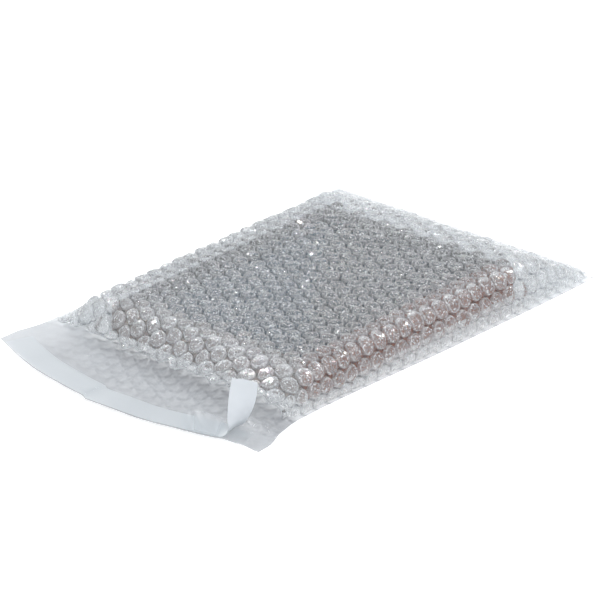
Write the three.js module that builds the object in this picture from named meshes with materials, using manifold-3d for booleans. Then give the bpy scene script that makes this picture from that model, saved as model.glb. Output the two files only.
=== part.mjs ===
// A clear bubble-film mailing pouch lying flat, with a framed picture inside.
// Millimetres. +X runs across the pouch, +Y from the open mouth to the folded end, +Z up.
// The origin is on the floor, under the middle of the pouch.
import * as THREE from 'three';
import { mergeVertices } from 'three/addons/utils/BufferGeometryUtils.js';
import Module from 'manifold-3d';

const wasm = await Module();
wasm.setup();

// pouch, as it lies filled
const pouchLength = 342; // from the bowed lip edge to the folded end
const pouchWidth = 212;
const sideDrawIn = 3; // how far the load pulls each side seam in at mid length
const lipBow = 23; // the lip edge bows out between its two corners
const seamWidth = 2.5; // crushed margin outside the bubbles

// bubble film
const layerHeight = 4.2; // bubbles and flat film together
const filmThickness = 0.8;
const bubbleRise = 3.2; // bubble cap above the valley between bubbles
const bubbleCapRadius = 3.5;
const bubblePitch = 11.4; // between neighbours in a row, rows running along Y
const bubbleRows = 22;
const bubblesPerRow = 25;

// framed picture
const frameLength = 203;
const frameWidth = 152;
const frameHeight = 20;
const frameCentreX = 12;
const frameCentreY = 8.5;
const frameBase = layerHeight + 0.3;
const railFace = 15; // width of a rail seen from above
const rebateWidth = 5;
const rebateCeiling = 14.5; // the sight edge's underside, above the back of the frame
const railRound = 2.5; // radius of the outer top edge
const sightDrop = 2; // the sight edge sits lower than the rail's top
const mitreGap = 0.1;
const glassThickness = 2;
const sheetThickness = 0.5;
const backThickness = 3;
const glazingClearance = 0.5;

// how the top film hangs from the frame to the seams
const plateau = frameBase + frameHeight + 0.9;
const shoulder = 4; // how far the film stays high beyond the frame
const creaseBlend = 0.3;
const leastGap = 0.3; // inside height of the pouch along a seam
const mouthGap = 6; // inside height at the middle of the mouth
const mouthTilt = 0.035; // the mouth opens wider towards +X
const mouthY = -115;
const mouthSkew = -8; // the +X end of the mouth edge lies nearer the lip
const mouthCurve = 5;
const mouthOverrun = 3; // how far the hollow is cut past the mouth edge

// lip strips
const linerInset = 4.5;
const linerWidth = 16;
const linerThickness = 0.4;
const adhesiveWidth = 12;
const adhesiveThickness = 0.3;
const stripEndX = 100;
const tabStartX = 82;
const tabLength = 36;
const tabBend = 0.3; // share of the peeled tab over which it bends up
const tabSlope = THREE.MathUtils.degToRad(77);
const tabTwist = THREE.MathUtils.degToRad(87); // the tab turns from the lip's edge as it rises

const rowStep = bubblePitch * Math.sqrt(3) / 2;
const cellRadius = bubblePitch / Math.sqrt(3);
const farY = pouchLength / 2;
const sheetWidth = (bubbleRows - 1) * rowStep + 2 * cellRadius;
const sheetLength = bubblesPerRow * bubblePitch;

function material(color, roughness, opacity = 1) {
  const clear = opacity < 1;
  return new THREE.MeshStandardMaterial({ color, roughness, metalness: 0, opacity, transparent: clear });
}

function halfWidth(y) {
  return pouchWidth / 2 - sideDrawIn * Math.sin(Math.PI * (y + farY) / pouchLength) ** 2;
}

function lipEdgeY(x) {
  return -farY + lipBow * (2 * x / pouchWidth) ** 2;
}

function mouthEdgeY(x) {
  const side = 2 * x / pouchWidth;
  return mouthY + mouthSkew * side + mouthCurve * side ** 2;
}

function softMin(a, b) {
  const overlap = Math.max(creaseBlend - Math.abs(a - b), 0);
  return Math.min(a, b) - overlap ** 2 / (4 * creaseBlend);
}

// Height of the top film's inner face: straight slopes from the frame to the seams, softly creased.
function insideHeight(x, y) {
  const edge = halfWidth(y) - seamWidth;
  const left = frameCentreX - frameWidth / 2 - shoulder;
  const right = frameCentreX + frameWidth / 2 + shoulder;
  const near = frameCentreY - frameLength / 2 - shoulder / 2;
  const far = frameCentreY + frameLength / 2 + shoulder;
  const rise = plateau - layerHeight;
  const full = 1 + creaseBlend;
  const mouthShare = (mouthGap + mouthTilt * x) / rise;
  const fromMouth = (y - mouthEdgeY(x)) / (near - mouthEdgeY(x));
  const slopes = [
    full * (x + edge) / (left + edge),
    full * (edge - x) / (edge - right),
    full * (farY - seamWidth - y) / (farY - seamWidth - far),
    mouthShare + (full - mouthShare) * fromMouth,
  ];
  return layerHeight + Math.max(rise * slopes.reduce(softMin, 1), leastGap);
}

// The place between two ends where a profile has run the given share of its own length.
function placeAlong(profile, from, to, share) {
  const steps = 160;
  const step = (to - from) / steps;
  const runs = [0];
  for (let i = 1; i <= steps; i += 1) {
    const climb = profile(from + i * step) - profile(from + (i - 1) * step);
    runs.push(runs[i - 1] + Math.hypot(step, climb));
  }
  const target = share * runs[steps];
  let i = 1;
  while (i < steps && runs[i] < target) {
    i += 1;
  }
  return from + (i - 1 + (target - runs[i - 1]) / (runs[i] - runs[i - 1])) * step;
}

// A point of the flat sheet (s across, t along, both from 0 to 1) on the draped film.
function drapePoint(s, t) {
  const lengthwise = (y) => insideHeight(frameCentreX, y);
  const yMid = placeAlong(lengthwise, mouthY, farY - seamWidth, t);
  const share = (yMid - mouthY) / (farY - seamWidth - mouthY);
  const edge = halfWidth(yMid) - seamWidth;
  const x = placeAlong((place) => insideHeight(place, yMid), -edge, edge, s);
  const y = mouthEdgeY(x) + share * (farY - seamWidth - mouthEdgeY(x));
  return new THREE.Vector3(x, y, insideHeight(x, y));
}

function drapeNormal(point) {
  const d = 0.5;
  const slopeX = insideHeight(point.x + d, point.y) - insideHeight(point.x - d, point.y);
  const slopeY = insideHeight(point.x, point.y + d) - insideHeight(point.x, point.y - d);
  return new THREE.Vector3(-slopeX, -slopeY, 2 * d).normalize();
}

// Every bubble's hexagon on the flat sheet; corners past the outermost bubbles lie on the sheet's edge.
function bubbleCells() {
  const cells = [];
  for (let row = 0; row < bubbleRows; row += 1) {
    const odd = row % 2;
    for (let i = 0; i < bubblesPerRow - odd; i += 1) {
      const s = cellRadius + row * rowStep;
      const t = (i + 0.5 + odd / 2) * bubblePitch;
      const corners = [];
      for (let k = 0; k < 6; k += 1) {
        const angle = k * Math.PI / 3;
        corners.push(ontoSheet(s + cellRadius * Math.cos(angle), t + cellRadius * Math.sin(angle)));
      }
      cells.push({ s, t, corners });
    }
  }
  return cells;
}

function ontoSheet(s, t) {
  const slack = 0.01;
  const firstT = bubblePitch / 2 + slack;
  const firstS = cellRadius - slack;
  const onS = s < firstS ? 0 : s > sheetWidth - firstS ? sheetWidth : s;
  const onT = t < firstT ? 0 : t > sheetLength - firstT ? sheetLength : t;
  return [Number(onS.toFixed(3)), Number(onT.toFixed(3))];
}

const placed = new Map();

function sheetPoint([s, t], lift) {
  const key = `${s.toFixed(3)} ${t.toFixed(3)}`;
  if (!placed.has(key)) {
    const point = drapePoint(s / sheetWidth, t / sheetLength);
    placed.set(key, { point, normal: drapeNormal(point) });
  }
  const { point, normal } = placed.get(key);
  return point.clone().addScaledVector(normal, lift);
}

// Collects triangles from polygons given as lists of points, counter-clockwise from outside.
class Faces {
  constructor() {
    this.positions = [];
  }

  add(points) {
    for (let i = 1; i < points.length - 1; i += 1) {
      for (const point of [points[0], points[i], points[i + 1]]) {
        this.positions.push(point.x, point.y, point.z);
      }
    }
  }

  geometry() {
    const geometry = new THREE.BufferGeometry();
    geometry.setAttribute('position', new THREE.Float32BufferAttribute(this.positions, 3));
    return mergeVertices(geometry, 1e-4);
  }
}

// The edges that only one cell has, as one loop of corners, counter-clockwise from above.
function outerLoop(cells) {
  const after = new Map();
  for (const { corners } of cells) {
    corners.forEach((corner, k) => {
      const next = corners[(k + 1) % 6];
      if (after.get(`${next}`)?.delete(`${corner}`) || `${corner}` === `${next}`) {
        return;
      }
      after.set(`${corner}`, after.get(`${corner}`) ?? new Map());
      after.get(`${corner}`).set(`${next}`, next);
    });
  }
  const [start] = [...after.values()].find((nexts) => nexts.size === 1).values();
  const loop = [start];
  for (;;) {
    const [next] = after.get(`${loop[loop.length - 1]}`).values();
    if (`${next}` === `${start}`) {
      return loop;
    }
    loop.push(next);
  }
}

// Closes a field of cell tops with walls down to a level floor.
function closeBelow(cells, topOf, bottomOf, faces) {
  const loop = outerLoop(cells);
  const floor = loop.map(bottomOf);
  loop.forEach((corner, k) => {
    const next = (k + 1) % loop.length;
    faces.add([topOf(corner), floor[k], floor[next], topOf(loop[next])]);
  });
  for (const triangle of THREE.ShapeUtils.triangulateShape(floor, [])) {
    faces.add(triangle.map((k) => floor[k]).reverse());
  }
}

function solid(geometry) {
  const vertProperties = new Float32Array(geometry.attributes.position.array);
  const triVerts = new Uint32Array(geometry.index.array);
  return new wasm.Manifold(new wasm.Mesh({ numProp: 3, vertProperties, triVerts }));
}

function geometryOf(body) {
  const mesh = body.getMesh();
  const geometry = new THREE.BufferGeometry();
  geometry.setAttribute('position', new THREE.BufferAttribute(mesh.vertProperties, 3));
  geometry.setIndex(new THREE.BufferAttribute(mesh.triVerts, 1));
  return geometry;
}

function positionsOnly(geometry) {
  geometry.deleteAttribute('normal');
  geometry.deleteAttribute('uv');
  return mergeVertices(geometry, 1e-4);
}

// The top panel: a bubble with a flat cap on every cell, closed down into the bottom panel.
function topPanel(cells) {
  const faces = new Faces();
  const valley = (corner) => sheetPoint(corner, filmThickness);
  const inBottomPanel = (corner) => valley(corner).setZ(layerHeight / 2);
  for (const { s, t, corners } of cells) {
    const cap = [];
    for (let k = 0; k < 6; k += 1) {
      const angle = k * Math.PI / 3;
      const place = [s + bubbleCapRadius * Math.cos(angle), t + bubbleCapRadius * Math.sin(angle)];
      cap.push(sheetPoint(place, filmThickness + bubbleRise));
    }
    faces.add(cap);
    for (let k = 0; k < 6; k += 1) {
      const next = (k + 1) % 6;
      faces.add([valley(corners[k]), valley(corners[next]), cap[next], cap[k]]);
    }
  }
  closeBelow(cells, valley, inBottomPanel, faces);
  return solid(faces.geometry());
}

// The hollow between the two panels, running out through the mouth.
function hollow(cells) {
  const faces = new Faces();
  const inner = (corner) => {
    const point = sheetPoint(corner, 0);
    return corner[1] === 0 ? point.setY(point.y - mouthOverrun) : point;
  };
  const floor = (corner) => inner(corner).setZ(layerHeight);
  for (const { corners } of cells) {
    faces.add(corners.map(inner));
  }
  closeBelow(cells, inner, floor, faces);
  return solid(faces.geometry());
}

// The bottom panel, its bubbles pressed to one flat layer, with the lip bowing out past the mouth.
function bottomPanel() {
  const steps = 14;
  const cornerY = lipEdgeY(pouchWidth / 2);
  const right = [];
  for (let i = 0; i <= steps; i += 1) {
    const y = cornerY + (farY - cornerY) * i / steps;
    right.push(new THREE.Vector2(halfWidth(y), y));
  }
  const left = right.map(({ x, y }) => new THREE.Vector2(-x, y)).reverse();
  const lip = [];
  for (let i = 1; i < steps; i += 1) {
    const x = (i / steps - 0.5) * pouchWidth;
    lip.push(new THREE.Vector2(x, lipEdgeY(x)));
  }
  const outline = new THREE.Shape([...lip, ...right, ...left]);
  const slab = new THREE.ExtrudeGeometry(outline, { depth: layerHeight, bevelEnabled: false });
  return solid(positionsOnly(slab));
}

function bubblePouch() {
  const cells = bubbleCells();
  const pouch = bottomPanel().add(topPanel(cells)).subtract(hollow(cells));
  const mesh = new THREE.Mesh(geometryOf(pouch), material(0xe4e8ec, 0.2, 0.45));
  mesh.name = 'bubble_pouch';
  return mesh;
}

// A flat band of the given thickness through sections with a centre, a width direction and a normal.
function ribbon(sections, width, thickness) {
  const faces = new Faces();
  const rings = sections.map(({ centre, across, normal }) => {
    const ring = [];
    for (const [w, h] of [[-0.5, 0], [0.5, 0], [0.5, 1], [-0.5, 1]]) {
      const point = centre.clone().addScaledVector(across, w * width);
      ring.push(point.addScaledVector(normal, h * thickness));
    }
    return ring;
  });
  for (let i = 0; i < rings.length - 1; i += 1) {
    for (let k = 0; k < 4; k += 1) {
      const next = (k + 1) % 4;
      faces.add([rings[i][k], rings[i][next], rings[i + 1][next], rings[i + 1][k]]);
    }
  }
  faces.add([...rings[0]].reverse());
  faces.add(rings[rings.length - 1]);
  return faces.geometry();
}

// Sections of a band lying on the lip, a given distance inside its bowed edge.
function lipSections(fromX, toX, inset, z, steps) {
  const sections = [];
  for (let i = 0; i <= steps; i += 1) {
    const x = fromX + (toX - fromX) * i / steps;
    const slope = 2 * lipBow * x * (2 / pouchWidth) ** 2;
    const across = new THREE.Vector3(-slope, 1, 0).normalize();
    const centre = new THREE.Vector3(x, lipEdgeY(x), z).addScaledVector(across, inset);
    sections.push({ centre, across, normal: new THREE.Vector3(0, 0, 1) });
  }
  return sections;
}

function adhesiveStrip() {
  const inset = linerInset + linerWidth / 2;
  const sections = lipSections(-stripEndX, stripEndX, inset, layerHeight, 20);
  const mesh = new THREE.Mesh(
    ribbon(sections, adhesiveWidth, adhesiveThickness),
    material(0xe9ecea, 0.35, 0.6),
  );
  mesh.name = 'adhesive_strip';
  return mesh;
}

// The liner lies on the adhesive and its last stretch is peeled: it curls up and twists as it rises.
function releaseLiner() {
  const inset = linerInset + linerWidth / 2;
  const z = layerHeight + adhesiveThickness;
  const sections = lipSections(-stripEndX, tabStartX, inset, z, 20);
  const steps = 14;
  const start = sections[sections.length - 1];
  const heading = new THREE.Vector3().crossVectors(start.across, start.normal);
  const centre = start.centre.clone();
  for (let i = 1; i <= steps; i += 1) {
    const share = i / steps;
    const slope = tabSlope * Math.min(share / tabBend, 1);
    const twist = tabTwist * share;
    const flat = heading.clone().applyAxisAngle(start.normal, twist);
    const along = flat.multiplyScalar(Math.cos(slope)).addScaledVector(start.normal, Math.sin(slope));
    const across = start.across.clone().applyAxisAngle(start.normal, -twist);
    across.addScaledVector(along, -across.dot(along)).normalize();
    centre.addScaledVector(along, tabLength / steps);
    sections.push({ centre: centre.clone(), across, normal: along.clone().cross(across) });
  }
  const mesh = new THREE.Mesh(ribbon(sections, linerWidth, linerThickness), material(0xf4f6f8, 0.5));
  mesh.name = 'release_liner';
  return mesh;
}

// Moulding section: x is the distance inward from the frame's outer face, y the height.
function railSection() {
  const section = new THREE.Shape();
  section.moveTo(0, 0);
  section.lineTo(railFace - rebateWidth, 0);
  section.lineTo(railFace - rebateWidth, rebateCeiling);
  section.lineTo(railFace, rebateCeiling);
  section.lineTo(railFace, frameHeight - sightDrop);
  section.quadraticCurveTo(railFace - 1, frameHeight, railFace - rebateWidth, frameHeight);
  section.lineTo(railRound, frameHeight);
  section.absarc(railRound, frameHeight - railRound, railRound, Math.PI / 2, Math.PI, false);
  return section;
}

// One rail with its two ends cut at 45 degrees.
function rail(name, length, centreX, centreY, turn) {
  const extruded = new THREE.ExtrudeGeometry(railSection(), {
    depth: 1, bevelEnabled: false, curveSegments: 4,
  });
  const geometry = positionsOnly(extruded);
  const position = geometry.attributes.position;
  for (let i = 0; i < position.count; i += 1) {
    const inward = position.getX(i);
    const height = position.getY(i);
    const end = position.getZ(i) > 0.5 ? 1 : -1;
    position.setXYZ(i, inward, -end * (length / 2 - inward - mitreGap), height);
  }
  const mesh = new THREE.Mesh(geometry, material(0x8a6650, 0.55));
  mesh.name = name;
  mesh.position.set(centreX, centreY, frameBase);
  mesh.rotation.z = turn;
  return mesh;
}

function frameRails() {
  const x = frameWidth / 2;
  const y = frameLength / 2;
  return [
    rail('frame_rail_left', frameLength, frameCentreX - x, frameCentreY, 0),
    rail('frame_rail_right', frameLength, frameCentreX + x, frameCentreY, Math.PI),
    rail('frame_rail_near', frameWidth, frameCentreX, frameCentreY - y, Math.PI / 2),
    rail('frame_rail_far', frameWidth, frameCentreX, frameCentreY + y, -Math.PI / 2),
  ];
}

// A flat sheet lying in the rebate, its top a given height above the back of the frame.
function rebatePanel(name, top, thickness, look) {
  const inset = 2 * (railFace - rebateWidth + glazingClearance);
  const geometry = new THREE.BoxGeometry(frameWidth - inset, frameLength - inset, thickness);
  const mesh = new THREE.Mesh(geometry, look);
  mesh.name = name;
  mesh.position.set(frameCentreX, frameCentreY, frameBase + top - thickness / 2);
  return mesh;
}

const sheetTop = rebateCeiling - glassThickness;
const backTop = sheetTop - sheetThickness;

const group = new THREE.Group();
group.add(
  bubblePouch(),
  adhesiveStrip(),
  releaseLiner(),
  ...frameRails(),
  rebatePanel('glazing', rebateCeiling, glassThickness, material(0xdfe9ec, 0.05, 0.4)),
  rebatePanel('picture_sheet', sheetTop, sheetThickness, material(0x6f8796, 0.7)),
  rebatePanel('backing_board', backTop, backThickness, material(0x9b7a56, 0.8)),
);

export default group;
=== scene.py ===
import math
import random

import bmesh
import bpy
import numpy as np
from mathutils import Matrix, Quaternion, Vector, noise


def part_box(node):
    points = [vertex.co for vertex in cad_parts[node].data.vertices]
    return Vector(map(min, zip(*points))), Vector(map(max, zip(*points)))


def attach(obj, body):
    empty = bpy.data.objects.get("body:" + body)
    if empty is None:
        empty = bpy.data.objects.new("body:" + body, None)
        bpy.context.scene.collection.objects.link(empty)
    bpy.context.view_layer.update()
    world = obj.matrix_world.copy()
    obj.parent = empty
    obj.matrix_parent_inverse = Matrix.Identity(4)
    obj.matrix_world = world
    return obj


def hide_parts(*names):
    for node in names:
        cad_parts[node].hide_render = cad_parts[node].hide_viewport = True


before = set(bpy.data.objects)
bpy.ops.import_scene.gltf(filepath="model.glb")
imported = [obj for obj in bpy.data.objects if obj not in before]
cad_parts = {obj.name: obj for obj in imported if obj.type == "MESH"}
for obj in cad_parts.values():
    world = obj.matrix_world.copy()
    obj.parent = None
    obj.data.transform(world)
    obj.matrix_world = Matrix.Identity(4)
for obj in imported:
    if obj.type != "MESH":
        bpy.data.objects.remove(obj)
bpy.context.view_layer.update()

random.seed(11)
noise.seed_set(11)

# The pouch as the CAD lays it out, in metres
pouch = {
    "length": 0.342,
    "width": 0.212,
    "sideDrawIn": 0.003,
    "lipBow": 0.023,
    "seam": 0.0025,
    "filmLevel": 0.0042,
    "plateau": 0.0254,  # underside of the top film over the frame
    "shoulder": 0.004,
    "creaseBlend": 0.3,
    "mouthGap": 0.006,
    "mouthTilt": 0.035,
    "mouthY": -0.115,
    "mouthSkew": -0.008,
    "mouthCurve": 0.005,
    "leftSag": 1.8,  # above 1 the film hangs in a hollow curve on that side
    "farSag": 1.5,
    "waist": 0.008,  # how far the right side is pulled in beside the mouth
    "waistY": -0.105,
    "waistNear": 0.028,  # how far that pull reaches, towards the lip
    "waistFar": 0.09,
    "lipFlare": 0.0025,
    "cornerOut": 0.0034,  # how far the lip's right corner runs out
    "notchX": -0.016,
    "notchStep": 0.0014,
    "frill": 0.0013,
    "sideDroop": 0.0036,
    "droopReach": 0.012,
    "gridColumns": 150,
    "gridRows": 210,
}
farY = pouch["length"] / 2

# The two panels as flat film
flatSize = {
    "width": 0.229,
    "top": 0.299,
    "bottom": 0.343,
    "seal": 0.018,  # plain film along the lip, before the first bubbles
    "sealRise": 0.016,  # more of it at the right end
    "sealFrom": 0.175,
    "sealRun": 0.03,
}

# The bubble film
film = {
    "pitch": 0.0114,  # between neighbouring bubbles
    "radius": 0.0051,
    "height": 0.0036,
    "heightVary": 0.18,
    "crush": 0.5,  # how far some bubbles are pressed in
    "crushShare": 0.15,
    "tilt": 0.16,
    "lean": 0.15,
    "dent": 0.0006,
    "dentScale": 300,
    "weldLeft": 0.013,  # the bubbles flatten over these widths
    "weldRight": 0.006,
    "weldFar": 0.01,
    "weldLip": 0.006,
    "leastPress": 0.1,
    "frontX": 0.65,  # towards the camera: the side of each bubble's foot where shade is painted
    "frontY": -0.76,
    "nearCloudFrom": -0.076,
    "nearCloud": 0.08,
    "flankCloud": 0.1,
    "borderCloud": 0.12,
    "cornerCloud": 0.3,
    # painted shade: the inner film is tinted darker across the mouth
    "mouthShade": 0.8,
}

# The crumpled film inside the mouth's right end
crumple = {
    "x": 0.0875,
    "y": -0.131,
    "slant": 0.18,
    "length": 0.0155,
    "width": 0.0062,
    "height": 0.0018,
}


# Tools for shader nodes

def newMaterial(name):
    mat = bpy.data.materials.new(name)
    mat.use_nodes = True
    mat.node_tree.nodes.clear()
    return mat, mat.node_tree.nodes, mat.node_tree.links


def noiseOf(nodes, links, source, scale, detail=6, roughness=0.55, distortion=0):
    tex = nodes.new("ShaderNodeTexNoise")
    tex.inputs["Distortion"].default_value = distortion
    tex.inputs["Scale"].default_value = scale
    tex.inputs["Detail"].default_value = detail
    tex.inputs["Roughness"].default_value = roughness
    links.new(source, tex.inputs["Vector"])
    return tex.outputs["Fac"]


def attributeOf(nodes, name, output="Fac"):
    # what the mesh keeps at each of its points
    tool = nodes.new("ShaderNodeAttribute")
    tool.attribute_name = name
    return tool.outputs[output]


def ramp(nodes, links, source, low, high):
    tool = nodes.new("ShaderNodeMapRange")
    tool.inputs["To Min"].default_value = low
    tool.inputs["To Max"].default_value = high
    links.new(source, tool.inputs["Value"])
    return tool.outputs["Result"]


def between(nodes, links, source, stops):
    # a curve through (place, value) stops
    tool = nodes.new("ShaderNodeValToRGB")
    while len(tool.color_ramp.elements) < len(stops):
        tool.color_ramp.elements.new(0.5)
    for element, (place, value) in zip(tool.color_ramp.elements, stops):
        element.position = place
        element.color = (value, value, value, 1)
    links.new(source, tool.inputs[0])
    return tool.outputs["Color"]


def feed(links, socket, value):
    # a socket takes either a fixed value or what another node gives
    if isinstance(value, (int, float, tuple)):
        socket.default_value = value
    else:
        links.new(value, socket)


def maths(nodes, links, operation, a, b, clamp=True):
    tool = nodes.new("ShaderNodeMath")
    tool.operation = operation
    tool.use_clamp = clamp
    feed(links, tool.inputs[0], a)
    feed(links, tool.inputs[1], b)
    return tool.outputs[0]


def times(nodes, links, a, b):
    return maths(nodes, links, "MULTIPLY", a, b)


def plus(nodes, links, a, b):
    return maths(nodes, links, "ADD", a, b)


def mixShaders(nodes, links, share, first, second):
    mix = nodes.new("ShaderNodeMixShader")
    for socket, value in zip(mix.inputs, (share, first, second)):
        feed(links, socket, value)
    return mix.outputs[0]


def mixColours(nodes, links, share, first, second):
    mix = nodes.new("ShaderNodeMix")
    mix.data_type = "RGBA"
    for socket, value in zip(("Factor", "A", "B"), (share, first, second)):
        feed(links, mix.inputs[socket], value)
    return mix.outputs["Result"]


# Camera, stage and lights

stage = {
    "azimuth": 40.73,
    "elevation": 24.46,
    "distance": 2.412,
    "target": (-0.0141, 0.0251, 0.0),
    "lens": 231.2,
    "softColour": (0.95, 0.97, 1, 1),
    "softness": 0.6,
    "floorSize": 6,
    "floorDrop": 0.0005,
    "floorColour": (0.9, 0.9, 0.9, 1),
    "floorGlow": 0.7,  # only where the camera or a reflection sees it
}

lamps = {
    "key": {"place": (-0.6, 0.9, 1.6), "size": 0.7, "power": 5.5},
    "front": {"place": (1.4, -1.2, 1.5), "size": 0.5, "power": 13},
    "glintLeft": {"place": (-1.1, 0.2, 0.9), "size": 0.05, "power": 60, "glintOnly": True},
    "glintRight": {"place": (0.7, 1.3, 1.1), "size": 0.05, "power": 60, "glintOnly": True},
}


def makeCamera():
    az, el = math.radians(stage["azimuth"]), math.radians(stage["elevation"])
    back = Vector((math.sin(az) * math.cos(el), -math.cos(az) * math.cos(el), math.sin(el)))
    data = bpy.data.cameras.new("camera")
    data.lens = stage["lens"]
    data.sensor_width = 36
    data.clip_end = 50
    cam = bpy.data.objects.new("camera", data)
    bpy.context.collection.objects.link(cam)
    cam.location = Vector(stage["target"]) + back * stage["distance"]
    cam.rotation_euler = back.to_track_quat("Z", "Y").to_euler()
    bpy.context.scene.camera = cam


def makeLamp(name, place, size, power, glintOnly=False):
    data = bpy.data.lights.new(name, "AREA")
    data.size = size
    data.energy = power
    lamp = bpy.data.objects.new(name, data)
    bpy.context.collection.objects.link(lamp)
    lamp.location = place
    lamp.visible_diffuse = not glintOnly
    lamp.rotation_euler = Vector(place).to_track_quat("Z", "Y").to_euler()


def seesWhite(nodes, links):
    # 1 for a ray from the camera, a reflection or clear film
    path = nodes.new("ShaderNodeLightPath")
    seen = path.outputs["Is Camera Ray"]
    for kind in ("Is Glossy Ray", "Is Transmission Ray"):
        seen = maths(nodes, links, "MAXIMUM", seen, path.outputs[kind], clamp=False)
    return seen


def makeWorld():
    world = bpy.data.worlds.new("studio")
    world.use_nodes = True
    nodes, links = world.node_tree.nodes, world.node_tree.links
    nodes.clear()
    out = nodes.new("ShaderNodeOutputWorld")
    soft = nodes.new("ShaderNodeBackground")
    soft.inputs["Color"].default_value = stage["softColour"]
    soft.inputs["Strength"].default_value = stage["softness"]
    white = nodes.new("ShaderNodeBackground")
    white.inputs["Strength"].default_value = 1
    sky = mixShaders(nodes, links, seesWhite(nodes, links), soft.outputs[0], white.outputs[0])
    links.new(sky, out.inputs[0])
    bpy.context.scene.world = world


def makeFloor():
    mesh = bpy.data.meshes.new("floor")
    bm = bmesh.new()
    bmesh.ops.create_grid(bm, x_segments=1, y_segments=1, size=stage["floorSize"])
    bm.to_mesh(mesh)
    bm.free()
    floor = bpy.data.objects.new("floor", mesh)
    bpy.context.collection.objects.link(floor)
    floor.location.z = -stage["floorDrop"]
    mat, nodes, links = newMaterial("white table")
    out = nodes.new("ShaderNodeOutputMaterial")
    card = nodes.new("ShaderNodeBsdfDiffuse")
    card.inputs["Color"].default_value = stage["floorColour"]
    glow = nodes.new("ShaderNodeEmission")
    glow.inputs["Strength"].default_value = stage["floorGlow"]
    add = nodes.new("ShaderNodeAddShader")
    links.new(card.outputs[0], add.inputs[0])
    links.new(glow.outputs[0], add.inputs[1])
    seen = mixShaders(nodes, links, seesWhite(nodes, links), card.outputs[0], add.outputs[0])
    links.new(seen, out.inputs[0])
    mesh.materials.append(mat)


def makeStage():
    scene = bpy.context.scene
    scene.view_settings.view_transform = "Standard"
    scene.cycles.transparent_max_bounces = 32
    makeWorld()
    makeFloor()
    for name, lamp in lamps.items():
        makeLamp(name, **lamp)


# How the film lies: the same slopes from the frame to the seams as in the CAD

def halfWidth(y):
    drawIn = pouch["sideDrawIn"] * np.sin(np.pi * (y + farY) / pouch["length"]) ** 2
    return pouch["width"] / 2 - drawIn


def ease(share):
    share = np.clip(share, 0, 1)
    return share * share * (3 - 2 * share)


def rightEdge(y):
    reach = np.where(y < pouch["waistY"], pouch["waistNear"], pouch["waistFar"])
    pull = pouch["waist"] * np.exp(-(((y - pouch["waistY"]) / reach) ** 2))
    return halfWidth(y) - pull + pouch["lipFlare"] * ease((-0.125 - y) / 0.02)


def lipEdgeY(x):
    bow = pouch["lipBow"] * (2 * x / pouch["width"]) ** 2
    step = pouch["notchStep"] * ease((x - pouch["notchX"]) / 0.004)
    return -farY + bow - step - pouch["cornerOut"] * ease((x - 0.082) / 0.012)


def mouthEdgeY(x):
    side = 2 * x / pouch["width"]
    return pouch["mouthY"] + pouch["mouthSkew"] * side + pouch["mouthCurve"] * side**2


def softMin(a, b, blend):
    overlap = np.maximum(blend - np.abs(a - b), 0)
    return np.minimum(a, b) - overlap**2 / (4 * blend)


def frameEdges():
    low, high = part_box("frame_rail_left")[0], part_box("frame_rail_right")[1]
    return low[0], high[0], low[1], high[1]


def insideHeight(x, y):
    left, right, near, far = frameEdges()
    reach = pouch["shoulder"]
    edge = halfWidth(y) - pouch["seam"]
    rightSeam = rightEdge(y) - pouch["seam"]
    end = farY - pouch["seam"]
    rise = pouch["plateau"] - pouch["filmLevel"]
    full = 1 + pouch["creaseBlend"]
    share = (pouch["mouthGap"] + pouch["mouthTilt"] * x) / rise
    mouth = mouthEdgeY(x)
    slopes = (
        full * np.maximum((x + edge) / (left - reach + edge), 0) ** pouch["leftSag"],
        full * (rightSeam - x) / (rightSeam - right - reach),
        full * np.maximum((end - y) / (end - far - reach), 0) ** pouch["farSag"],
        share + (full - share) * (y - mouth) / (near - reach / 2 - mouth),
    )
    height = np.ones_like(x)
    for slope in slopes:
        height = softMin(height, slope, pouch["creaseBlend"])
    return pouch["filmLevel"] + np.maximum(rise * height, 0.0003)


def evenRun(places, heights):
    # places at even steps along a profile's own length
    run = np.concatenate([[0], np.cumsum(np.hypot(np.diff(places), np.diff(heights)))])
    return run / run[-1]


def topSheet():
    # grid of points of the draped top film, by its share across and along
    columns, rows = pouch["gridColumns"], pouch["gridRows"]
    end = farY - pouch["seam"]
    ys = np.linspace(pouch["mouthY"], end, 400)
    middle = np.full_like(ys, 0.012)
    rowY = np.interp(np.linspace(0, 1, rows), evenRun(ys, insideHeight(middle, ys)), ys)
    points = np.zeros((rows, columns, 3))
    for j, y in enumerate(rowY):
        xs = np.linspace(pouch["seam"] - halfWidth(y), rightEdge(y) - pouch["seam"], 400)
        run = evenRun(xs, insideHeight(xs, np.full_like(xs, y)))
        x = np.interp(np.linspace(0, 1, columns), run, xs)
        share = (y - pouch["mouthY"]) / (end - pouch["mouthY"])
        lie = mouthEdgeY(x) + share * (end - mouthEdgeY(x))
        height = insideHeight(x, lie) - sideDroop(x, y)
        atEnds = np.clip((rightEdge(y) - np.abs(x)) / 0.02, 0, 1)
        frill = pouch["frill"] * np.exp(-share * 36) * atEnds
        wave = np.sin(x * 560) * 0.6 + np.sin(x * 260 + 1.3)  # uneven along the mouth
        rise = 1.1 + np.sin(x * 410 + 0.6)
        points[j] = np.stack([x, lie + frill * wave, height + frill * rise], axis=1)
    return points


def sideDroop(x, y):
    # the welded right side lies down on the table
    reach = pouch["droopReach"]
    return pouch["sideDroop"] * ease((x - rightEdge(y) + reach) / reach)


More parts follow.
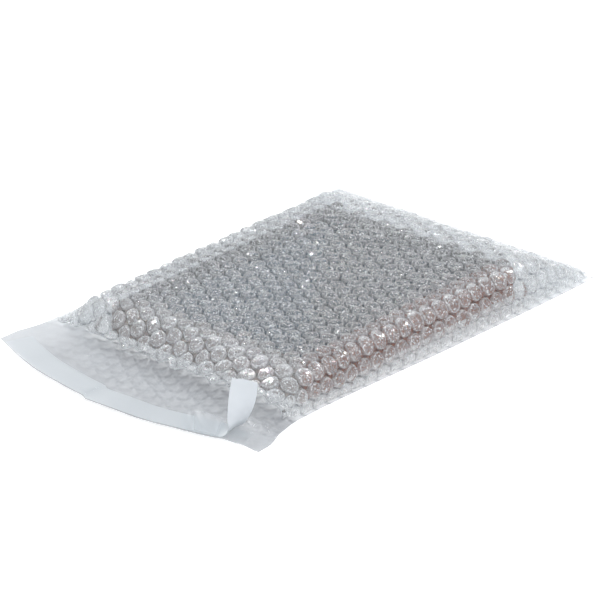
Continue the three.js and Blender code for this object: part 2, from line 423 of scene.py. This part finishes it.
def bottomSheet():
    # the bottom film from the bowed lip edge to the fold, level under the load
    columns, rows = pouch["gridColumns"], pouch["gridRows"]
    points = np.zeros((rows, columns, 3))
    for j in range(rows):
        t = j / (rows - 1)
        s = np.linspace(-1, 1, columns)
        x = s * pouch["width"] / 2
        y = lipEdgeY(x) + t * (farY - lipEdgeY(x))
        left, right = halfWidth(y), rightEdge(y)
        x = -left + (s + 1) / 2 * (left + right)
        height = pouch["filmLevel"] + lipLift(x, y) - sideDroop(x, y)
        points[j] = np.stack([x, y, height], axis=1)
    return points


def lipLift(x, y):
    # the lip rises at its left corner, waves a little and is crumpled at the mouth's right end
    free = np.clip((mouthEdgeY(x) - y) / 0.03, 0, 1)
    corner = np.clip(-x / 0.106, 0, 1) ** 4 * 0.001
    left = 0.0009 * ease((pouch["notchX"] + 0.004 - x) / 0.006)
    wave = 0.0005 * (1 + np.sin(x * 95 + 0.7) * np.cos(x * 37))
    return free**2 * (corner + left + wave) + creases(x, y)[0]


def creases(x, y):
    # the crumpled film: its height, and the shade painted into its folds
    along = x - crumple["x"]
    across = y - crumple["y"] - crumple["slant"] * along
    near = np.exp(-((along / crumple["length"]) ** 2) - (across / crumple["width"]) ** 2)
    ridge = np.abs(np.sin(across * 720 + 1.6 * np.sin(x * 210) + np.sin(x * 530)))
    foldShade = np.clip(near * 2, 0, 1) * np.clip(1 - 2.2 * ridge, 0, 1)
    return crumple["height"] * near * ridge, foldShade


def gridNormals(points):
    along = np.gradient(points, axis=0)
    across = np.gradient(points, axis=1)
    normals = np.cross(across, along)
    return normals / np.linalg.norm(normals, axis=2, keepdims=True)


def sample(grid, s, t):
    rows, columns = grid.shape[:2]
    u = np.clip(s, 0, 1) * (columns - 1)
    v = np.clip(t, 0, 1) * (rows - 1)
    i = np.minimum(u.astype(int), columns - 2)
    j = np.minimum(v.astype(int), rows - 2)
    fu, fv = (u - i)[:, None], (v - j)[:, None]
    low = grid[j, i] * (1 - fu) + grid[j, i + 1] * fu
    high = grid[j + 1, i] * (1 - fu) + grid[j + 1, i + 1] * fu
    return low * (1 - fv) + high * fv


# Bubbles

def bubbleCell(bm):
    # one hexagon of film with its bubble, the walls nearly upright and the top crowned
    radius, height = film["radius"], film["height"]
    corner = film["pitch"] / math.sqrt(3)
    hexagon = bmesh.ops.create_circle(bm, segments=6, radius=corner, cap_ends=True)
    face = hexagon["verts"][0].link_faces[0]
    bmesh.ops.subdivide_edges(bm, edges=list(face.edges), cuts=1)
    for ring, z in ((1, 0), (0.98, 0.5), (0.86, 0.85), (0.55, 1)):
        bmesh.ops.inset_individual(bm, faces=[face], thickness=0.0001)
        for vert in face.verts:
            angle = math.atan2(vert.co.y, vert.co.x)
            out = radius * ring
            vert.co = (out * math.cos(angle), out * math.sin(angle), height * z)
    cap = bmesh.ops.poke(bm, faces=[face])
    cap["verts"][0].co.z = height * 1.04


def copyAlong(bm, geom, shift):
    copy = bmesh.ops.duplicate(bm, geom=geom)["geom"]
    verts = [part for part in copy if isinstance(part, bmesh.types.BMVert)]
    bmesh.ops.translate(bm, verts=verts, vec=shift)


def bubbleSheet(name, length):
    # a flat sheet of bubble film lying in x 0..width, y 0..length
    pitch, width = film["pitch"], flatSize["width"]
    step = pitch * math.sqrt(3) / 2
    bm = bmesh.new()
    bubbleCell(bm)
    cell = bm.verts[:] + bm.edges[:] + bm.faces[:]
    for j in range(1, math.ceil(length / pitch) + 2):
        copyAlong(bm, cell, (0, j * pitch, 0))
    line = bm.verts[:] + bm.edges[:] + bm.faces[:]
    for i in range(1, math.ceil(width / step) + 1):
        copyAlong(bm, line, (i * step, -0.5 * (i % 2) * pitch, 0))
    bmesh.ops.remove_doubles(bm, verts=bm.verts, dist=0.0001)
    cuts = (
        ((0, 0, 0), (-1, 0, 0)),
        ((width, 0, 0), (1, 0, 0)),
        ((0, 0, 0), (0, -1, 0)),
        ((0, length, 0), (0, 1, 0)),
    )
    for place, normal in cuts:
        geom = bm.verts[:] + bm.edges[:] + bm.faces[:]
        bmesh.ops.bisect_plane(bm, geom=geom, plane_co=place, plane_no=normal, clear_outer=True)
    mesh = bpy.data.meshes.new(name)
    bm.to_mesh(mesh)
    bm.free()
    return mesh


def meshPoints(mesh):
    points = np.empty(len(mesh.vertices) * 3)
    mesh.vertices.foreach_get("co", points)
    return points.reshape(-1, 3)


def unevenBubbles(flat, seed):
    # each bubble its own height, lean and dents
    dice = np.random.default_rng(seed)
    step = film["pitch"] * math.sqrt(3) / 2
    column = np.rint(flat[:, 0] / step).astype(int)
    row = np.rint(flat[:, 1] / film["pitch"] + 0.5 * (column % 2)).astype(int)
    shape = (column.max() + 1, row.max() + 1)
    height = 1 + film["heightVary"] * dice.uniform(-1, 1, shape)
    crushed = dice.random(shape) < film["crushShare"]
    height *= np.where(crushed, 1 - film["crush"] * dice.random(shape), 1)
    leanX, leanY = (side[column, row] for side in dice.uniform(-1, 1, (2,) + shape))
    fromX = (flat[:, 0] - column * step) / film["radius"]
    fromY = (flat[:, 1] - (row - 0.5 * (column % 2)) * film["pitch"]) / film["radius"]
    tilt = 1 + film["tilt"] * (leanX * fromX + leanY * fromY)
    lift = flat[:, 2] * height[column, row] * tilt
    shift = (flat[:, 2] * film["lean"])[:, None] * np.stack([leanY, leanX], axis=1)
    return flat[:, :2] + shift, lift


def keepValue(mesh, name, values):
    mesh.attributes.new(name, "FLOAT", "POINT").data.foreach_set("value", values)


def markBubbles(mesh, spots, strength):
    # keeps each point's place on the flat sheet, and how plainly its bubble shows
    lie = mesh.attributes.new("lie", "FLOAT_VECTOR", "POINT")
    lie.data.foreach_set("vector", np.column_stack([spots, np.zeros(len(spots))]).ravel())
    keepValue(mesh, "quilt", strength)


def addPiece(name, mesh):
    mesh.shade_smooth()
    piece = bpy.data.objects.new(name, mesh)
    bpy.context.collection.objects.link(piece)
    return piece


def cloudiness(points):
    # the slack film is milkier on the near slope and low on the flanks
    x, y, z = points.T
    left, right, near, far = frameEdges()
    lowRight = (x - right) * ease((0.014 - z) / 0.006)
    beyond = np.maximum(np.maximum(left - x, lowRight), y - far)
    border = ease((beyond - 0.003) / 0.012) * film["borderCloud"] * ease((y + 0.118) / 0.03)
    near = np.clip((film["nearCloudFrom"] - y) / 0.022, 0, 1) * film["nearCloud"]
    low, outer = np.clip((0.017 - z) / 0.012, 0, 1), np.clip((x - 0.084) / 0.006, 0, 1)
    return np.maximum(np.maximum(near, low * outer * film["flankCloud"]), border)


def cornerCloud(points):
    # the films cling together and look milky in the mouth's left corner
    x, y, z = points.T
    return film["cornerCloud"] * ease((-0.06 - x) / 0.03) * ease((y + 0.165) / 0.012)


def sealEdge(across):
    # how far from the lip's cut edge the bubbles start
    more = ease((across - flatSize["sealFrom"]) / flatSize["sealRun"])
    return flatSize["seal"] + flatSize["sealRise"] * more


def standing(across, along, length, sealed):
    # how much of its height a bubble keeps beside the welds, the fold and the sealed lip
    stand = np.clip(across / film["weldLeft"], 0, 1) ** 0.7
    stand *= np.clip((flatSize["width"] - across) / film["weldRight"], 0, 1) ** 0.7
    stand *= np.clip((length - along) / film["weldFar"], film["leastPress"], 1)
    if sealed:
        stand *= np.clip((along - sealEdge(across)) / film["weldLip"], film["leastPress"], 1)
    return stand


def layFilm(name, grid, length, seed, up=1, gap=0.0, sealed=False):
    # drapes a flat bubble sheet over a grid, its bubbles on the side that up gives
    mesh = bubbleSheet(name, length)
    flat = meshPoints(mesh)
    spot, lift = unevenBubbles(flat, seed)
    stand = standing(flat[:, 0], flat[:, 1], length, sealed)
    lift = lift * stand
    s, t = spot[:, 0] / flatSize["width"], spot[:, 1] / length
    normal = sample(gridNormals(grid), s, t)
    placed = sample(grid, s, t) + normal * (lift * up + gap)[:, None]
    dent = np.array([noise.noise_vector(Vector(p) * film["dentScale"]) for p in placed])
    placed += dent * film["dent"] * np.clip(lift / 0.002, 0.15, 1)[:, None]
    if up < 0:
        placed[:, 2] = np.maximum(placed[:, 2], 0.0)
        mesh.flip_normals()
    mesh.vertices.foreach_set("co", placed.ravel())
    plain = np.clip(stand * 3, 0, 1)
    keepValue(mesh, "dome", np.clip(flat[:, 2] / film["height"] * plain, 0, 1))
    keepValue(mesh, "cloud", cloudiness(placed) if up > 0 else np.zeros(len(placed)))
    markBubbles(mesh, flat[:, :2], plain)
    mesh.update()
    return addPiece(name, mesh)


def layFlat(name, grid, length, sealed=False):
    # the plain film that closes the bubbles, as a grid of quads
    rows, columns = grid.shape[:2]
    mesh = bpy.data.meshes.new(name)
    bm = bmesh.new()
    bmesh.ops.create_grid(bm, x_segments=columns - 1, y_segments=rows - 1, size=0.5)
    bm.to_mesh(mesh)
    bm.free()
    flat = meshPoints(mesh)
    s, t = flat[:, 0] + 0.5, flat[:, 1] + 0.5
    across, along = s * flatSize["width"], t * length
    placed = sample(grid, s, t) + sample(gridNormals(grid), s, t) * 0.0001
    mesh.vertices.foreach_set("co", placed.ravel())
    # painted shade in the creases, and across the mouth as well for the sealed film
    shade = creases(placed[:, 0], placed[:, 1])[1]
    cloud, plain = np.zeros(len(placed)), np.ones(len(placed))
    if sealed:
        shade = shade + film["mouthShade"] * ease((-0.1 - placed[:, 1]) / 0.014)
        cloud, plain = cornerCloud(placed), ease((along - sealEdge(across)) / film["weldLip"])
    keepValue(mesh, "paintedShade", shade)
    keepValue(mesh, "cloud", cloud)
    markBubbles(mesh, np.column_stack([across, along]), plain)
    return addPiece(name, mesh)


# The clear pieces' materials

filmLook = {
    "haze": (0.9, 0.925, 0.95, 1),
    "clear": (0.985, 0.99, 0.992, 1),
    "edge": (0.7, 0.71, 0.72, 1),  # a darker see-through tint for painted shade, in the gaps at the bubbles' feet and in the creases
    "glow": 0.35,  # how much of the haze is lit from behind
    "gapHaze": 0.01,
    "domeHaze": 0.2,
    # extra haze in a ring round each cap's edge: a painted highlight
    "ringHighlight": 0.4,
    "flatHaze": 0.05,
    "rimHaze": 1,
    # thin milky lines for the film's wrinkles, painted bright like the caustic light along them
    "wrinklesAndCaustics": 0.35,
    # small specks of haze on the domes: painted glints
    "paintedGlints": 0.8,
    "shadeArcs": 0,
    "sheen": 0.9,
    "roughness": 0.06,
    "crinkle": 0.7,
    "crinkleDepth": 0.0005,
    "fades": False,
}

# What the others have instead
filmKinds = {
    "inner film": {
        "clear": (0.93, 0.94, 0.945, 1),
        # the dark tint of the shade painted into creases, across the mouth and at the bubbles' feet
        "edge": (0.3, 0.31, 0.33, 1),
        "flatHaze": 0.28,
        "wrinklesAndCaustics": 0.03,
        # painted shade arcs at the feet of the bubbles under this film
        "shadeArcs": 1.0,
        "sheen": 0.6,
        "roughness": 0.25,
        "crinkle": 0.2,
    },
    "lower bubbles": {
        "clear": (0.94, 0.945, 0.95, 1),
        "edge": (0.9, 0.91, 0.92, 1),
        "domeHaze": 0.03,
        "ringHighlight": 0.02,
        "rimHaze": 0.12,
        "wrinklesAndCaustics": 0.0,
        "paintedGlints": 0.0,
        "sheen": 0.12,
        "crinkle": 0.1,
    },
    "film fold": {
        "flatHaze": 0.25,
        "wrinklesAndCaustics": 0.0,
        "sheen": 0.15,
        "roughness": 0.35,
        "crinkle": 0.1,
        "fades": True,
    },
    # the cut edge's strong haze is a painted highlight along the mouth
    "film edge": {"flatHaze": 0.8, "wrinklesAndCaustics": 0},
    "adhesive": {"flatHaze": 0.01, "rimHaze": 0.0, "wrinklesAndCaustics": 0.0, "sheen": 0.1},
    "glass": {"flatHaze": 0.02, "rimHaze": 0.1, "wrinklesAndCaustics": 0, "roughness": 0.05, "crinkle": 0.0},
}

# Noise by its scale, detail, roughness and distortion
filmNoise = {
    "crinkle": (520, 3, 0.6, 1.2),
    "wrinklesAndCaustics": (300, 2, 0.6, 1.5),
    # a dapple of painted light and shade in the domes' haze
    "lightDapple": (460, 1, 0.5, 0.8),
    "paintedGlints": (820, 0, 0.5, 0.5),
}

# Where on a bubble, or in a noise, each mark shows; a bubble's foot is at 0.8
filmBands = {
    "wrinklesAndCaustics": ((0.0, 0), (0.44, 0), (0.5, 1), (0.56, 0), (1.0, 0)),
    "lightDapple": ((0.0, 0.1), (0.4, 0.1), (0.6, 1.0), (1.0, 1.0)),
    "paintedGlints": ((0.0, 0), (0.64, 0), (0.7, 1), (1.0, 1)),
    "dome": ((0.0, 0), (0.15, 1), (1.0, 1)),
    "wall": ((0.0, 0), (0.79, 0), (0.84, 1), (1.0, 1)),
    # the ring of painted highlight round each cap
    "ring": ((0.0, 0), (0.64, 0), (0.72, 1), (0.79, 0.15), (0.82, 0)),
    "shadeArc": ((0.0, 0), (0.5, 0), (0.72, 1), (0.84, 1), (0.9, 0)),
}


def bubblePlace(nodes, links):
    # how far a point lies from its bubble's centre, and how far towards the bubble's front
    def vectors(operation, *values):
        tool = nodes.new("ShaderNodeVectorMath")
        tool.operation = operation
        for socket, value in zip(tool.inputs, values):
            feed(links, socket, value)
        return tool

    lie = attributeOf(nodes, "lie", "Vector")
    step, half = film["pitch"] * math.sqrt(3) / 2, film["pitch"] / 2
    low, high = (-step, -half, -1.0), (step, half, 1.0)
    even = vectors("WRAP", lie, high, low).outputs[0]
    moved = vectors("ADD", lie, (-step, half, 0.0)).outputs[0]
    odd = vectors("WRAP", moved, high, low).outputs[0]
    evenOut, oddOut = (vectors("LENGTH", way).outputs["Value"] for way in (even, odd))
    nearer = nodes.new("ShaderNodeMix")
    nearer.data_type = "VECTOR"
    links.new(maths(nodes, links, "LESS_THAN", evenOut, oddOut), nearer.inputs["Factor"])
    links.new(odd, nearer.inputs["A"])
    links.new(even, nearer.inputs["B"])
    out = vectors("LENGTH", nearer.outputs["Result"]).outputs["Value"]
    heading = vectors("NORMALIZE", nearer.outputs["Result"]).outputs[0]
    towards = (film["frontX"], film["frontY"], 0.0)
    front = vectors("DOT_PRODUCT", heading, towards).outputs["Value"]
    return times(nodes, links, out, 0.8 / film["radius"]), front


def bubbleTones(nodes, links, look, coord, dome):
    # how hazy the bubbles are, with painted highlights, glints and dapples in the haze, and where
    # shade is painted at their feet and in the gaps between them
    reach = bubblePlace(nodes, links)[0]
    quilt = attributeOf(nodes, "quilt")
    # painted shade: the see-through tint darkens at each bubble's foot and in the gaps between
    # bubbles
    wall = times(nodes, links, between(nodes, links, reach, filmBands["wall"]), quilt)
    # painted light and shade: the domes' haze is dappled like light refracted through the film
    lightDapple = noiseOf(nodes, links, coord, *filmNoise["lightDapple"])
    lightDapple = between(nodes, links, lightDapple, filmBands["lightDapple"])
    bubble = times(nodes, links, between(nodes, links, dome, filmBands["dome"]), lightDapple)
    haze = ramp(nodes, links, bubble, look["gapHaze"], look["domeHaze"])
    # painted highlight: a bright ring of haze round each cap's edge
    ring = times(nodes, links, between(nodes, links, reach, filmBands["ring"]), quilt)
    haze = plus(nodes, links, haze, times(nodes, links, ring, look["ringHighlight"]))
    # painted glints: small bright specks of haze on the domes
    paintedGlints = noiseOf(nodes, links, coord, *filmNoise["paintedGlints"])
    paintedGlints = times(nodes, links, between(nodes, links, paintedGlints, filmBands["paintedGlints"]), dome)
    haze = plus(nodes, links, haze, times(nodes, links, paintedGlints, look["paintedGlints"]))
    return plus(nodes, links, haze, attributeOf(nodes, "cloud")), wall


def flatTones(nodes, links, look):
    # how hazy the plain film is, and the shade painted into its creases, across the mouth and at
    # the feet of the bubbles under it
    reach, front = bubblePlace(nodes, links)
    shown = times(nodes, links, attributeOf(nodes, "quilt"), look["shadeArcs"])
    # painted shade: a dark arc at each bubble's foot, strongest on its side towards the camera
    shadeArc = times(nodes, links, between(nodes, links, reach, filmBands["shadeArc"]), shown)
    shadeArc = times(nodes, links, shadeArc, ramp(nodes, links, front, -0.25, 1.25))
    wall = plus(nodes, links, attributeOf(nodes, "paintedShade"), shadeArc)
    return plus(nodes, links, attributeOf(nodes, "cloud"), look["flatHaze"]), wall


def clearFilm(name, domes=False):
    # see-through film with its haze on top and its gloss over both
    look = {**filmLook, **filmKinds.get(name, {})}
    mat, nodes, links = newMaterial(name)
    out = nodes.new("ShaderNodeOutputMaterial")
    coord = nodes.new("ShaderNodeTexCoord").outputs["Object"]
    bump = nodes.new("ShaderNodeBump")
    bump.inputs["Strength"].default_value = look["crinkle"]
    bump.inputs["Distance"].default_value = look["crinkleDepth"]
    links.new(noiseOf(nodes, links, coord, *filmNoise["crinkle"]), bump.inputs["Height"])
    facing = nodes.new("ShaderNodeLayerWeight")
    facing.inputs["Blend"].default_value = 0.5
    grazing = maths(nodes, links, "POWER", facing.outputs["Facing"], 4)
    rim = times(nodes, links, grazing, look["rimHaze"])
    # the film's wrinkles as thin milky lines, painted bright like caustic light
    wrinklesAndCaustics = noiseOf(nodes, links, coord, *filmNoise["wrinklesAndCaustics"])
    wrinklesAndCaustics = between(nodes, links, wrinklesAndCaustics, filmBands["wrinklesAndCaustics"])
    if domes:
        dome = attributeOf(nodes, "dome")
        haze, wall = bubbleTones(nodes, links, look, coord, dome)
        wrinklesAndCaustics = times(nodes, links, wrinklesAndCaustics, dome)
    else:
        haze, wall = flatTones(nodes, links, look)
    mirror = nodes.new("ShaderNodeFresnel")
    mirror.inputs["IOR"].default_value = 1.5
    links.new(bump.outputs["Normal"], mirror.inputs["Normal"])
    shine = times(nodes, links, mirror.outputs[0], look["sheen"])
    if look["fades"]:
        fade = attributeOf(nodes, "fade")
        haze, rim, shine = (times(nodes, links, fade, part) for part in (haze, rim, shine))
    wrinklesAndCaustics = times(nodes, links, wrinklesAndCaustics, look["wrinklesAndCaustics"])
    amount = plus(nodes, links, plus(nodes, links, haze, rim), wrinklesAndCaustics)
    through = nodes.new("ShaderNodeBsdfTransparent")
    # where shade is painted, the see-through tint turns to the darker edge colour
    tint = mixColours(nodes, links, wall, look["clear"], look["edge"])
    links.new(tint, through.inputs["Color"])
    lit = nodes.new("ShaderNodeBsdfDiffuse")
    lit.inputs["Color"].default_value = look["haze"]
    glowing = nodes.new("ShaderNodeBsdfTranslucent")
    glowing.inputs["Color"].default_value = look["haze"]
    milk = mixShaders(nodes, links, look["glow"], lit.outputs[0], glowing.outputs[0])
    gloss = nodes.new("ShaderNodeBsdfGlossy")
    gloss.inputs["Color"].default_value = (1, 1, 1, 1)
    gloss.inputs["Roughness"].default_value = look["roughness"]
    links.new(bump.outputs["Normal"], gloss.inputs["Normal"])
    skin = mixShaders(nodes, links, amount, through.outputs[0], milk)
    links.new(mixShaders(nodes, links, shine, skin, gloss.outputs[0]), out.inputs[0])
    return mat


# The solid pieces' materials

plainLook = {
    "vary": 0.15,
    "stretch": (1, 1, 1),
    "specular": 0.4,
    "relief": 0.4,
    "litRisen": None,  # a paler colour where the piece stands up off the film, painted light on the raised tab
    "risenFrom": 0.006,
    "risenTo": 0.012,
}

linerLook = {
    "colour": (0.585, 0.63, 0.665),
    # the raised tab painted paler, as light on it
    "litRisen": (0.84, 0.88, 0.92),
    "roughness": 0.45,
    "grain": 500,
    "grainDepth": 0.00004,
    "vary": 0.02,
}
pictureLook = {"colour": (0.03, 0.125, 0.215), "roughness": 0.6, "grain": 30, "grainDepth": 0.0001}
boardLook = {"colour": (0.3, 0.19, 0.1), "roughness": 0.8, "grain": 250, "grainDepth": 0.0002}

woodLook = {"roughness": 0.45, "grain": 180, "grainDepth": 0.0003, "vary": 0.35}
alongY, alongX = (1, 0.12, 1), (0.12, 1, 1)
woods = {
    # one wood: the left and far rails are near black with painted shade, the near rail paler
    "frame_rail_left": {"colour": (0.06, 0.056, 0.056), "stretch": alongY},
    "frame_rail_right": {"colour": (0.32, 0.10, 0.045), "stretch": alongY},
    "frame_rail_near": {"colour": (0.42, 0.36, 0.33), "stretch": alongX},
    # painted shade, as on the left rail
    "frame_rail_far": {"colour": (0.06, 0.056, 0.056), "stretch": alongX},
}


def plainMaterial(name, values):
    # a solid surface whose colour, gloss and relief follow one grain
    look = {**plainLook, **values}
    mat, nodes, links = newMaterial(name)
    out = nodes.new("ShaderNodeOutputMaterial")
    skin = nodes.new("ShaderNodeBsdfPrincipled")
    coord = nodes.new("ShaderNodeTexCoord").outputs["Object"]
    shape = nodes.new("ShaderNodeMapping")
    shape.inputs["Scale"].default_value = look["stretch"]
    links.new(coord, shape.inputs["Vector"])
    grain = noiseOf(nodes, links, shape.outputs[0], look["grain"])
    darker, lighter = (
        tuple(min(part * share, 1) for part in look["colour"]) + (1,)
        for share in (1 - look["vary"], 1 + look["vary"])
    )
    colour = mixColours(nodes, links, grain, darker, lighter)
    # painted light: paler where the piece rises off the film
    if look["litRisen"]:
        height = nodes.new("ShaderNodeSeparateXYZ")
        links.new(coord, height.inputs[0])
        up = nodes.new("ShaderNodeMapRange")
        up.inputs["From Min"].default_value = look["risenFrom"]
        up.inputs["From Max"].default_value = look["risenTo"]
        links.new(height.outputs["Z"], up.inputs["Value"])
        colour = mixColours(nodes, links, up.outputs["Result"], colour, (*look["litRisen"], 1))
    links.new(colour, skin.inputs["Base Color"])
    smooth, rough = look["roughness"] * 0.85, min(look["roughness"] * 1.15, 1)
    links.new(ramp(nodes, links, grain, smooth, rough), skin.inputs["Roughness"])
    skin.inputs["Specular IOR Level"].default_value = look["specular"]
    bump = nodes.new("ShaderNodeBump")
    bump.inputs["Strength"].default_value = look["relief"]
    bump.inputs["Distance"].default_value = look["grainDepth"]
    links.new(grain, bump.inputs["Height"])
    links.new(bump.outputs["Normal"], skin.inputs["Normal"])
    links.new(skin.outputs[0], out.inputs[0])
    return mat


# The strips on the lip

strips = {
    "linerInset": 0.0009,
    "linerWidth": 0.0178,
    "linerThick": 0.00012,
    "linerRaise": 0.00025,
    "linerSteps": 56,
    "tabWidth": 0.0158,
    "adhesiveWidth": 0.012,
    "adhesiveThick": 0.00015,
    "adhesiveRaise": 0.0002,
    "adhesiveSteps": 60,
    "endX": 0.1,
    "tabStart": 0.082,
    "tabLength": 0.036,
    "tabSteps": 24,
    "tabBend": 0.3,  # the share of its length in which it turns up
    "tabSlope": math.radians(77),
    "tabTwist": math.radians(87),
    "tabRagged": 0.3,
}

# The cut edge of the top film along the mouth
hem = {"width": 0.0005, "thick": 0.0002, "steps": 220, "inset": 0.012}

# The soft fold of film that lies over the liner where its end comes free
fold = {
    "left": 0.0584,
    "right": 0.083,
    "leftSlant": 0.012,
    "rightSlant": 0.004,
    "depth": 0.0215,
    "raised": 0.0009,
    "height": 0.002,
    "ripple": 0.0003,
}


def lipPoint(x, inset):
    # a point of the lip a given distance inside its edge, with the direction across the strip
    slope = 2 * pouch["lipBow"] * x * (2 / pouch["width"]) ** 2
    across = Vector((-slope, 1, 0)).normalized()
    place = Vector((x, float(lipEdgeY(x)), 0)) + across * inset
    height = float(lipLift(np.array([place.x]), np.array([place.y]))[0])
    place.z = pouch["filmLevel"] + height
    return place, across


def ribbon(name, sections, thickness, ragged=0.0):
    # a thin band through sections of a left and a right point
    bm = bmesh.new()
    rows = []
    for left, right in sections:
        rows.append([bm.verts.new(left.lerp(right, k / 6)) for k in range(7)])
    for vert in rows[-1]:
        vert.co += (rows[-1][0].co - rows[-2][0].co) * ragged * random.random()
    edges = [bm.edges.new(pair) for row in rows for pair in zip(row, row[1:])]
    for first, second in zip(rows, rows[1:]):
        loop = [e for e in edges if e.verts[0] in first and e.verts[1] in first]
        loop += [e for e in edges if e.verts[0] in second and e.verts[1] in second]
        bmesh.ops.bridge_loops(bm, edges=loop)
    bmesh.ops.recalc_face_normals(bm, faces=bm.faces)
    mesh = bpy.data.meshes.new(name)
    bm.to_mesh(mesh)
    bm.free()
    piece = addPiece(name, mesh)
    wall = piece.modifiers.new("thickness", "SOLIDIFY")
    wall.thickness = thickness
    wall.offset = 0
    even = piece.modifiers.new("even shading", "WEIGHTED_NORMAL")
    even.mode = "FACE_AREA"
    return piece


def lipSection(x, width, raised):
    # the two edge points of a strip that lies on the lip, its middle and its direction
    place, across = lipPoint(x, strips["linerInset"] + strips["linerWidth"] / 2)
    place += Vector((0, 0, raised))
    half = across * width / 2
    return (place - half, place + half), place, across


def makeAdhesive():
    steps = strips["adhesiveSteps"]
    sections = []
    for i in range(steps + 1):
        x = strips["endX"] * (2 * i / steps - 1)
        sections.append(lipSection(x, strips["adhesiveWidth"], strips["adhesiveRaise"])[0])
    return ribbon("adhesive_band", sections, strips["adhesiveThick"])


def makeLiner():
    steps = strips["linerSteps"]
    sections = []
    for i in range(steps + 1):
        x = -strips["endX"] + (strips["tabStart"] + strips["endX"]) * i / steps
        edges, centre, across = lipSection(x, strips["linerWidth"], strips["linerRaise"])
        sections.append(edges)
    up = Vector((0, 0, 1))
    heading = across.cross(up)
    steps = strips["tabSteps"]
    narrowing = strips["tabWidth"] - strips["linerWidth"]
    for i in range(1, steps + 1):
        share = i / steps
        half = (strips["linerWidth"] + narrowing * ease(share * 3)) / 2
        slope = strips["tabSlope"] * min(share / strips["tabBend"], 1)
        twist = strips["tabTwist"] * share
        flat = Quaternion(up, twist) @ heading
        along = flat * math.cos(slope) + up * math.sin(slope)
        side = Quaternion(up, -twist) @ across
        side = (side - along * side.dot(along)).normalized()
        centre = centre + along * strips["tabLength"] / steps
        sections.append((centre - side * half, centre + side * half))
    return ribbon("liner_band", sections, strips["linerThick"], strips["tabRagged"])


def makeHem(grid):
    sections = []
    for k in range(hem["steps"] + 1):
        s = np.array([hem["inset"] + (1 - 2 * hem["inset"]) * k / hem["steps"]])
        edge = Vector(sample(grid, s, np.array([0.0]))[0])
        inner = Vector(sample(grid, s, np.array([0.004]))[0])
        out = (edge - inner).normalized() * hem["width"]
        low, high = edge + out + Vector((0, 0, 0.0003)), edge - out * 0.4 + Vector((0, 0, 0.0006))
        sections.append((low, high))
    return ribbon("mouth_edge", sections, hem["thick"])


def makeFold():
    mesh = bpy.data.meshes.new("lip_fold")
    bm = bmesh.new()
    bmesh.ops.create_grid(bm, x_segments=40, y_segments=28, size=0.5)
    shares = []
    for vert in bm.verts:
        s, t = vert.co.x + 0.5, vert.co.y + 0.5
        slant = fold["leftSlant"] * (1 - s) + fold["rightSlant"] * s
        x = fold["left"] * (1 - s) + fold["right"] * s - t * slant
        place = lipPoint(x, 0.0002 + fold["depth"] * t)[0]
        swell = math.sin(math.pi * s) * (0.35 + 0.65 * t)
        ripple = fold["ripple"] * math.sin(s * 19 + t * 6)
        vert.co = place + Vector((0, 0, fold["raised"] + (fold["height"] + ripple) * swell))
        atSides = ease((s - 0.04) / 0.4) * ease((1 - s) / 0.15)
        shares.append(float(atSides * ease((1 - t) / 0.1 + 0.3)))
    bm.to_mesh(mesh)
    bm.free()
    keepValue(mesh, "fade", shares)
    return addPiece("lip_fold", mesh)


# Building it

print("stage and camera")
makeCamera()
makeStage()

print("bubble film")
topGrid = topSheet()
bottomGrid = bottomSheet()
topLength, bottomLength = flatSize["top"], flatSize["bottom"]
topFilm = layFilm("top_bubble_film", topGrid, topLength, seed=5, gap=0.0003)
bottomFilm = layFilm("bottom_bubble_film", bottomGrid, bottomLength, seed=9, up=-1, sealed=True)
topFlat = layFlat("top_flat_film", topGrid, topLength)
bottomFlat = layFlat("bottom_flat_film", bottomGrid, bottomLength, sealed=True)
films = {
    topFilm: clearFilm("bubble film", domes=True),
    bottomFilm: clearFilm("lower bubbles", domes=True),
    topFlat: clearFilm("flat film"),
    bottomFlat: clearFilm("inner film"),
    makeHem(topGrid): clearFilm("film edge"),
    makeFold(): clearFilm("film fold"),
}
for piece, look in films.items():
    piece.data.materials.append(look)
    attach(piece, "root")
    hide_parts("bubble_pouch")

print("lip strips")
adhesive = makeAdhesive()
adhesive.data.materials.append(clearFilm("adhesive"))
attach(adhesive, "root")
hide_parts("adhesive_strip")
liner = makeLiner()
liner.data.materials.append(plainMaterial("release liner", linerLook))
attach(liner, "root")
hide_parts("release_liner")

print("framed picture")
inside = {node: plainMaterial("wood " + node, {**woodLook, **look}) for node, look in woods.items()}
inside["picture_sheet"] = plainMaterial("picture", pictureLook)
inside["backing_board"] = plainMaterial("board", boardLook)
inside["glazing"] = clearFilm("glass")
for node, mat in inside.items():
    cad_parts[node].data.materials.clear()
    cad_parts[node].data.materials.append(mat)
